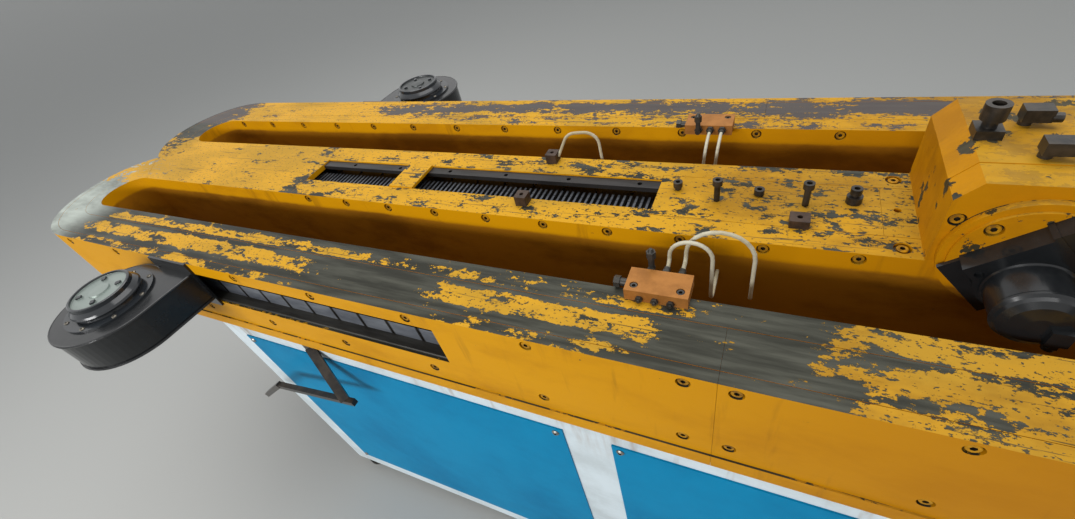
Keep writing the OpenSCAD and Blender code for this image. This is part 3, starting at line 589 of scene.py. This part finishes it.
# %% A socket screw's head
def close_mesh(name, work):
    """The worked mesh as a plain one, its faces looking outward."""
    mesh = bpy.data.meshes.new(name)
    bmesh.ops.recalc_face_normals(work, faces=work.faces)
    work.to_mesh(mesh)
    work.free()
    return mesh


def prism(work, rings):
    """Faces between two rings of points, and over both ends."""
    low, high = rings
    for i in range(len(low)):
        j = (i + 1) % len(low)
        work.faces.new((low[i], low[j], high[j], high[i]))
    work.faces.new(list(reversed(low)))
    work.faces.new(high)


def head_mesh(name, radius, height, socket=0.52, depth=0.6, dome=0.0, grease_shade_collar=0.0):
    """Round head with a chamfer and a six-sided socket, standing on the origin along Z.

    A collar is a dark ring round the head: partly grease, partly painted shade in the
    counterbore's gap. Its faces and the socket's are marked."""
    corners = 24
    chamfer = 0.10 * radius

    def ring(size, z, sides=0):
        points = []
        for i in range(corners):
            angle = 2 * math.pi * i / corners
            reach = size
            if sides:
                part = 2 * math.pi / sides
                reach = size * math.cos(part / 2) / math.cos(angle % part - part / 2)
            points.append((reach * math.cos(angle), reach * math.sin(angle), z))
        return points

    collar_top = 0.55 * height
    rings = [ring(radius, 0.0)]
    if grease_shade_collar:
        rings = [ring(grease_shade_collar, 0.0), ring(grease_shade_collar, collar_top), ring(radius, collar_top + 0.0002)]
    dark_rings = len(rings) - 1
    rings += [ring(radius, height - chamfer - dome), ring(radius - chamfer, height - dome),
              ring(radius * (socket + 0.16), height),
              ring(radius * socket, height - 0.02 * radius, 6),
              ring(radius * socket, height * (1 - depth), 6)]
    work = bmesh.new()
    dirt_and_shade = work.faces.layers.bool.new("dirt_and_shade")
    made = [[work.verts.new(p) for p in one] for one in rings]
    for row, (a, b) in enumerate(zip(made, made[1:])):
        for i in range(corners):
            j = (i + 1) % corners
            face = work.faces.new((a[i], a[j], b[j], b[i]))
            face[dirt_and_shade] = row < dark_rings or row == len(rings) - 2
    work.faces.new(list(reversed(made[0])))
    work.faces.new(made[-1])[dirt_and_shade] = True
    return close_mesh(name, work)


socket_head = bpy.data.objects.new("socket_head", head_mesh(
    "socket_head", radius=0.0075, height=0.0078))
sunk_head = bpy.data.objects.new("sunk_head", head_mesh(
    "sunk_head", radius=0.0072, height=0.0078, socket=0.50, grease_shade_collar=0.0092))
dome_head = bpy.data.objects.new("dome_head", head_mesh(
    "dome_head", radius=0.0060, height=0.0032, socket=0.45, depth=0.5, dome=0.0014))
print("head faces:", len(socket_head.data.polygons))

# %% [markdown]
# ## The tree that sets the fasteners
# The tree's inputs are the points, the object that is set, its size, how far it may turn, the
# seed of the chance and the two materials. The instances become real at the end, because the
# library keeps plain meshes.

# %% The tree that sets fasteners
def fastener_tree():
    """Puts an object on every point, along the point's facing, turned by chance."""
    tree = bpy.data.node_groups.new("set_fasteners", "GeometryNodeTree")
    face = tree.interface
    face.new_socket("Points", in_out="INPUT", socket_type="NodeSocketGeometry")
    face.new_socket("Fastener", in_out="INPUT", socket_type="NodeSocketObject")
    face.new_socket("Size", in_out="INPUT", socket_type="NodeSocketFloat").default_value = 1.0
    face.new_socket("Spin", in_out="INPUT", socket_type="NodeSocketFloat").default_value = math.tau
    face.new_socket("Seed", in_out="INPUT", socket_type="NodeSocketInt").default_value = 7
    face.new_socket("Finish", in_out="INPUT", socket_type="NodeSocketMaterial")
    face.new_socket("Dirt", in_out="INPUT", socket_type="NodeSocketMaterial")
    face.new_socket("Fasteners", in_out="OUTPUT", socket_type="NodeSocketGeometry")

    def add(kind, **settings):
        made = tree.nodes.new(kind)
        for key, value in settings.items():
            setattr(made, key, value)
        return made

    source, end = add("NodeGroupInput"), add("NodeGroupOutput")
    shape = add("GeometryNodeObjectInfo")
    facing = add("GeometryNodeInputNamedAttribute", data_type="FLOAT_VECTOR")
    facing.inputs["Name"].default_value = "facing"
    aim = add("FunctionNodeAlignRotationToVector", axis="Z")
    chance = add("FunctionNodeRandomValue", data_type="FLOAT")
    spin = add("FunctionNodeAxisAngleToRotation")
    spin.inputs["Axis"].default_value = (0.0, 0.0, 1.0)
    turn = add("FunctionNodeRotateRotation", rotation_space="LOCAL")
    place = add("GeometryNodeInstanceOnPoints")
    real = add("GeometryNodeRealizeInstances")
    paint, soil = add("GeometryNodeSetMaterial"), add("GeometryNodeSetMaterial")
    # Marked faces of a head get the dark material of grease and painted shade.
    dirt_and_shade = add("GeometryNodeInputNamedAttribute", data_type="BOOLEAN")
    dirt_and_shade.inputs["Name"].default_value = "dirt_and_shade"
    link = tree.links.new
    link(source.outputs["Fastener"], shape.inputs["Object"])
    link(source.outputs["Seed"], chance.inputs["Seed"])
    link(source.outputs["Spin"], chance.inputs[3])
    link(facing.outputs["Attribute"], aim.inputs["Vector"])
    link(chance.outputs[1], spin.inputs["Angle"])
    link(aim.outputs[0], turn.inputs["Rotation"])
    link(spin.outputs[0], turn.inputs["Rotate By"])
    link(source.outputs["Points"], place.inputs["Points"])
    link(shape.outputs["Geometry"], place.inputs["Instance"])
    link(turn.outputs[0], place.inputs["Rotation"])
    link(source.outputs["Size"], place.inputs["Scale"])
    link(place.outputs[0], real.inputs[0])
    link(real.outputs[0], paint.inputs["Geometry"])
    link(source.outputs["Finish"], paint.inputs["Material"])
    link(paint.outputs[0], soil.inputs["Geometry"])
    link(dirt_and_shade.outputs["Attribute"], soil.inputs["Selection"])
    link(source.outputs["Dirt"], soil.inputs["Material"])
    link(soil.outputs[0], end.inputs[0])
    return tree


setter = fastener_tree()
# Dark material for sockets and collars: old grease and painted shade of the recesses.
grease_and_shade = finish("grease_and_shade", (0.012, 0.009, 0.006), (0.030, 0.020, 0.010), 60.0, (0.4, 0.6))


def set_fasteners(name, places, fastener, material, size=1.0, seed=7, spin=math.tau):
    """One plain mesh of fasteners. A place is a point and the way that it faces."""
    mesh = bpy.data.meshes.new(name + "_points")
    mesh.from_pydata([tuple(point) for point, facing in places], [], [])
    facing = mesh.attributes.new("facing", "FLOAT_VECTOR", "POINT")
    facing.data.foreach_set("vector", [c for point, way in places for c in way])
    points = bpy.data.objects.new(name + "_points", mesh)
    bpy.context.collection.objects.link(points)
    modifier = points.modifiers.new("set", "NODES")
    modifier.node_group = setter
    socket = {item.name: item.identifier for item in setter.interface.items_tree
              if item.item_type == "SOCKET" and item.in_out == "INPUT"}
    modifier[socket["Fastener"]] = fastener
    modifier[socket["Size"]] = size
    modifier[socket["Spin"]] = spin
    modifier[socket["Seed"]] = seed
    modifier[socket["Finish"]] = material
    modifier[socket["Dirt"]] = grease_and_shade
    ready = points.evaluated_get(bpy.context.evaluated_depsgraph_get())
    made = bpy.data.objects.new(name, bpy.data.meshes.new_from_object(ready))
    bpy.data.objects.remove(points)
    bpy.context.collection.objects.link(made)
    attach(made, "root")
    print(name, len(places), "pieces,", len(made.data.polygons), "faces")
    return made


# %% [markdown]
# ## Where the screws sit
# The counterbores are 9 mm deep and follow even pitches along each wall and bar, from the joint
# of the bed to either end. A helper lists the stations from the first screw up to a limit, and
# the screws stand on the bores' floors. A few on the centre covers and the drive housing have
# places of their own.

# %% Where the screws sit
def stations(first, pitch, limit):
    """Places a pitch apart from the first one towards a limit."""
    count = int(abs(limit - first) / pitch + 1e-9) + 1
    return [first + math.copysign(pitch, limit - first) * i for i in range(count)]


def both_ways(firsts, pitch):
    """Stations from two first places near the joint to the bed's left and right ends."""
    return stations(firsts[0], pitch, left_end) + stations(firsts[1], pitch, right_end)


left_end, right_end, bore = -1.610, 0.68803, 0.009
wall_rows, wall_pitch, wall_firsts = (-0.015, -0.155), 0.219, (-0.040, 0.022)
bar_row, outer_pitch, outer_firsts = -0.012, 0.142, (-0.152, -0.010)
inner_pitch, inner_first, inner_limit, inner_right = 0.122, 0.029, -1.0, [0.151, 0.517, 0.639]
cover_x, cover_y, cover_z = 0.200, 0.080, -0.008
flange_screws, flange_height, plate_thick = (0.2345, 0.3895), 0.071, 0.014
plate_screws, plate_screw_height = (0.26675, 0.35725), 0.07025
wall_places, bar_places = [], []
for side in (-1, 1):
    for z in wall_rows:
        for x in both_ways(wall_firsts, wall_pitch):
            wall_places.append((on_bed(x, side * (wall_face - bore), z), (0, side, 0)))
    for x in both_ways(outer_firsts, outer_pitch):
        bar_places.append((on_bed(x, side * (slot_outer + bore), bar_row), (0, -side, 0)))
    for x in stations(inner_first, inner_pitch, inner_limit) + inner_right:
        bar_places.append((on_bed(x, side * (slot_inner - bore), bar_row), (0, side, 0)))
    bar_places.append((on_bed(cover_x, side * cover_y, cover_z), (0, 0, 1)))
    for x in flange_screws:
        bar_places.append((on_bed(x, side * (slot_inner - bore), flange_height), (0, side, 0)))
for x in plate_screws:
    bar_places.append((on_bed(x, bore - slot_inner - plate_thick, plate_screw_height), (0, -1, 0)))
screw_steel = finish("screw_steel", (0.11, 0.10, 0.085), (0.22, 0.20, 0.16), 60.0, (0.25, 0.45),
                     metallic=0.75)
screw_paint = finish("screw_paint", (0.50, 0.235, 0.006), (0.16, 0.075, 0.012), 75.0, (0.35, 0.55),
                     shine=0.1)
set_fasteners("wall_screws", wall_places, sunk_head, screw_paint)
set_fasteners("bar_screws", bar_places, sunk_head, screw_paint, seed=11)

# %% [markdown]
# ## Small screws on the manifolds and blowers
# Each manifold is held down by two screws near its outer corners, and a ring of dome heads
# holds each motor's plate on its blower. The same tree sets them at a smaller size.

# %% Small screws on the manifolds and blowers
bright_steel = finish("bright_steel", (0.30, 0.29, 0.27), (0.16, 0.15, 0.13), 90.0, (0.25, 0.4),
                      metallic=0.8)
screw_y, screw_z, screw_xs = 0.238, 0.0131, (-0.130, -0.065)
manifold_places = [(on_bed(x, side * screw_y, screw_z), (0, 0, 1))
                   for side in (-1, 1) for x in screw_xs]
set_fasteners("manifold_screws", manifold_places, socket_head, black_oxide, size=0.74, seed=5)
ring_places, ring_count, ring_radius, plate_height = [], 8, 0.081, 0.004
for name in ("near_blower_motor", "far_blower_motor"):
    axis_x, axis_y = middle(name)
    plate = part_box(name)[0][2] + plate_height
    for turn in range(ring_count):
        angle = math.radians((turn + 0.5) * 360 / ring_count)
        ring_places.append((Vector((axis_x + ring_radius * math.cos(angle),
                                    axis_y + ring_radius * math.sin(angle), plate)), (0, 0, 1)))
set_fasteners("ring_screws", ring_places, dome_head, screw_steel, size=0.8, seed=9)

# %% [markdown]
# ## Seams and rims of the blowers
# A volute is the blower's spiral housing. Its sheet starts and ends where the outlet duct leaves
# it, and the seam there is closed by a small wedge: the wall's part and one for each rim, three
# prisms for each blower. The sheet's edges are rolled over into round beads, which catch the
# light. A bead is a ring of points carried along the spiral from the mouth and on along the
# duct. The far blower is the near one turned by half a turn.

# %% Seams and rims of the blowers
def wedge_prism(work, place, turn, corners, low, high):
    """Upright prism over three corners given from the blower's axis."""
    prism(work, [[work.verts.new(place + Vector((turn * x, turn * y, z))) for x, y in corners]
                 for z in (low, high)])


def bead(work, place, turn, path, z, radius=0.0026, sides=8):
    """Round bead along a path of points given from the blower's axis."""
    rings = []
    for i, (x, y) in enumerate(path):
        before, after = path[max(i - 1, 0)], path[min(i + 1, len(path) - 1)]
        along = Vector((after[0] - before[0], after[1] - before[1], 0.0)).normalized()
        outward = Vector((along.y, -along.x, 0.0))
        ring = []
        for k in range(sides):
            angle = 2 * math.pi * k / sides
            point = Vector((x, y, 0.0)) + outward * (radius * math.cos(angle))
            height = z + radius * math.sin(angle)
            ring.append(work.verts.new(place + Vector((turn * point.x, turn * point.y, height))))
        rings.append(ring)
    for a, b in zip(rings, rings[1:]):
        for k in range(sides):
            m = (k + 1) % sides
            work.faces.new((a[k], a[m], b[m], b[k]))
    work.faces.new(rings[0])
    work.faces.new(list(reversed(rings[-1])))


volute_start, volute_end, volute_height = 0.100, 0.124, 0.080
rim_height, rim_width, bead_offset, bead_drop = 0.005, 0.003, 0.0012, 0.0020
facet, first_bead, duct_flare, mouth = 6, 78, 0.008, 0.100
last = math.radians(-facet)
last_reach = volute_end - (volute_end - volute_start) * facet / 360
work = bmesh.new()
for name, turn in (("near_blower_motor", 1), ("far_blower_motor", -1)):
    place = Vector((*middle(name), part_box(name)[0][2]))
    for grow, low, high in ((0.0, rim_height - volute_height, -rim_height),
                            (rim_width, -rim_height, 0.0),
                            (rim_width, -volute_height, rim_height - volute_height)):
        reach = last_reach + grow
        corners = [(volute_start + grow, 0.0), (reach * math.cos(last), reach * math.sin(last)),
                   (volute_end + grow, 0.0)]
        wedge_prism(work, place, turn, corners, low, high)
    path = []
    for degrees in range(first_bead, 361, facet):
        reach = volute_start + (volute_end - volute_start) * degrees / 360 + bead_offset
        angle = math.radians(degrees)
        path.append((reach * math.cos(angle), reach * math.sin(angle)))
    path.append((volute_end + bead_offset + duct_flare, mouth))
    for z in (-bead_drop, bead_drop - volute_height):
        bead(work, place, turn, path, z)
seam_mesh = close_mesh("blower_seams", work)
seams = bpy.data.objects.new("blower_seams", seam_mesh)
seam_mesh.materials.append(black_enamel)
bpy.context.collection.objects.link(seams)
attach(seams, "root")
print("seam faces:", len(seam_mesh.polygons))

# %% [markdown]
# ## Sills of the side windows
# Under each side window lies a flat steel sill with chamfered edges, so that the mould blocks'
# faces show above it. The solid model's rail is a plain upright bar, so the sills stand for it
# here. One profile across the sill is drawn out along the window on either side.

# %% Sills of the side windows
rail_low, rail_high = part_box("window_rails")
play, thick, outer_chamfer, inner_chamfer = 0.001, 0.005, 0.0015, 0.001
width = rail_high[1] - mould_face - play
profile = [(0.0, 0.0), (0.0, thick - inner_chamfer), (inner_chamfer, thick),
           (width - outer_chamfer, thick), (width, thick - outer_chamfer), (width, 0.0)]
work = bmesh.new()
for side in (-1, 1):
    inner_edge = rail_high[1] - width
    prism(work, [[work.verts.new((x, side * (inner_edge + across), rail_low[2] + rise))
                  for across, rise in profile] for x in (rail_low[0], rail_high[0])])
sill_mesh = close_mesh("window_sills", work)
sills = bpy.data.objects.new("window_sills", sill_mesh)
sill_mesh.materials.append(bare_steel)
bpy.context.collection.objects.link(sills)
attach(sills, "root")
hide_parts("window_rails")
print("sills", round(width, 4), "wide")

# %% [markdown]
# ## Ribs of the mould cavity
# The pipe is corrugated because each mould half has fine ribs across its half-round cavity.
# On the outer runs the cavities look outward, so the ribs sit behind the side windows. One rib
# is half a ring in mesh code, and the tree repeats it seventeen times a block, always upright.

# %% Ribs of the mould cavity
def rib_mesh(name, side, outer=0.0130, inner=0.0100, thick=0.0020, steps=10):
    """Half a ring round X that opens away from the machine."""
    work = bmesh.new()
    rows = []
    for i in range(steps + 1):
        angle = math.pi * i / steps
        across, rise = -side * math.sin(angle), math.cos(angle)
        rows.append([work.verts.new((x, r * across, r * rise)) for x, r in (
            (-thick / 2, outer), (-thick / 4, inner), (thick / 4, inner), (thick / 2, outer))])
    for a, b in zip(rows, rows[1:]):
        for k in range(4):
            m = (k + 1) % 4
            work.faces.new((a[k], a[m], b[m], b[k]))
    work.faces.new(rows[0])
    work.faces.new(list(reversed(rows[-1])))
    return close_mesh(name, work)


cavity_z, rib_pitch, rib_play = -0.066, 0.004, 0.0004
window_left, window_right, first_block = -1.180, -0.434, 0.02303
block_x = [first_block - block_pitch * i for i in range(6, 18)]
for word, side in (("near", -1), ("far", 1)):
    rib = bpy.data.objects.new(word + "_rib", rib_mesh(word + "_rib", side))
    ribs = [(on_bed(x + rib_pitch * k, side * (mould_face - rib_play), cavity_z), (0, 0, 1))
            for x in block_x for k in range(-8, 9)
            if window_left < x + rib_pitch * k < window_right]
    set_fasteners(word + "_mould_ribs", ribs, rib, bright_steel, spin=0.0)

# %% [markdown]
# ## Panel screws
# The sheet panels are held by bright dome-headed screws near their corners. The same tree sets
# them; only the points and the head change.

# %% Panel screws
inset = 0.015
panel_places = []
for name, across, way in (("front_panel_left", 1, -1), ("front_panel_right", 1, -1),
                          ("back_panel_left", 1, 1), ("back_panel_right", 1, 1),
                          ("end_panel_left", 0, -1), ("end_panel_right", 0, 1)):
    low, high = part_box(name)
    facing = [0, 0, 0]
    facing[across] = way
    for sideways in (low[1 - across] + inset, high[1 - across] - inset):
        for z in (low[2] + inset, high[2] - inset):
            spot = Vector((0.0, 0.0, z))
            spot[across] = low[across] if way < 0 else high[across]
            spot[1 - across] = sideways
            panel_places.append((spot, facing))
set_fasteners("panel_screws", panel_places, dome_head, bright_steel, size=1.2, seed=3)

# %% [markdown]
# ## Floor and light
# The machine stands on a plain pale floor under a wide soft ceiling light, with a lower, wide
# light from the operator's side that shows the depth of the slots. The world lights the rest
# evenly. What the camera sees behind the machine is plain white, which is set by the kind of
# ray, so that it adds no light to the object.

# %% Floor and light
floor_mesh = bpy.data.meshes.new("floor")
reach = 90
floor_mesh.from_pydata([(-reach, -reach, 0), (reach, -reach, 0), (reach, reach, 0),
                        (-reach, reach, 0)], [], [(0, 1, 2, 3)])
floor = bpy.data.objects.new("floor", floor_mesh)
bpy.context.collection.objects.link(floor)
floor_material, _, shader, _ = start_material("studio_floor", 0.65)
shader.inputs["Base Color"].default_value = (0.44, 0.44, 0.42, 1.0)
floor_mesh.materials.append(floor_material)


def area_light(name, place, target, size, watts):
    """A wide soft light at a place that looks at a target."""
    lamp = bpy.data.lights.new(name, "AREA")
    lamp.shape = "RECTANGLE"
    lamp.size, lamp.size_y = size
    lamp.energy = watts
    made = bpy.data.objects.new(name, lamp)
    made.location = place
    made.rotation_euler = (Vector(target) - Vector(place)).to_track_quat("-Z", "Y").to_euler()
    bpy.context.collection.objects.link(made)
    return made


bed_middle = (0.0, 0.0, 1.0)
ceiling = area_light("ceiling_light", (0.0, 0.6, 4.2), bed_middle, size=(5.0, 3.0), watts=135.0)
key = area_light("operator_side_light", (-1.2, -4.6, 2.45), bed_middle, size=(3.4, 1.0),
                 watts=165.0)

world = bpy.data.worlds.new("studio")
bpy.context.scene.world = world
world.use_nodes = True
tree = world.node_tree
tree.nodes.clear()
path = node(tree, "LightPath")
seen = math_node(tree, "MAXIMUM", path.outputs["Is Camera Ray"],
                 math_node(tree, "MAXIMUM", path.outputs["Is Glossy Ray"],
                           path.outputs["Is Transmission Ray"]))
light = node(tree, "Background", {"Color": (0.90, 0.95, 1.0, 1.0), "Strength": 0.36})
backdrop = node(tree, "Background", {"Color": (1.0, 1.0, 1.0, 1.0), "Strength": 1.0})
mixed = node(tree, "MixShader", {0: seen, 1: light.outputs[0], 2: backdrop.outputs[0]})
node(tree, "OutputWorld", {0: mixed.outputs[0]})
bpy.context.scene.view_settings.view_transform = "Standard"
print("lights:", ceiling.data.energy, key.data.energy)

# %% [markdown]
# ## Camera
# The camera stands over the machine's front edge and looks along it to the left, through a
# wide lens. Its place and turn were worked out from corners of the bed. A camera looks along
# its own -Z with +Y up, so the three directions become the columns of its matrix.

# %% Camera
lens = bpy.data.cameras.new("camera")
lens.sensor_width = 36.0
lens.lens = 15.903
lens.clip_start = 0.02
camera_place = (0.4825, -0.6827, 1.6025)
right = Vector((0.90077, 0.38389, -0.20309)).normalized()
look = Vector((-0.41423, 0.61888, -0.66738)).normalized()
up = right.cross(look).normalized()
right = look.cross(up).normalized()
camera = bpy.data.objects.new("camera", lens)
camera.matrix_world = Matrix.Translation(camera_place) @ Matrix(
    [(right[i], up[i], -look[i]) for i in range(3)]).to_4x4()
bpy.context.collection.objects.link(camera)
bpy.context.scene.camera = camera
print("camera up", [round(v, 4) for v in up])
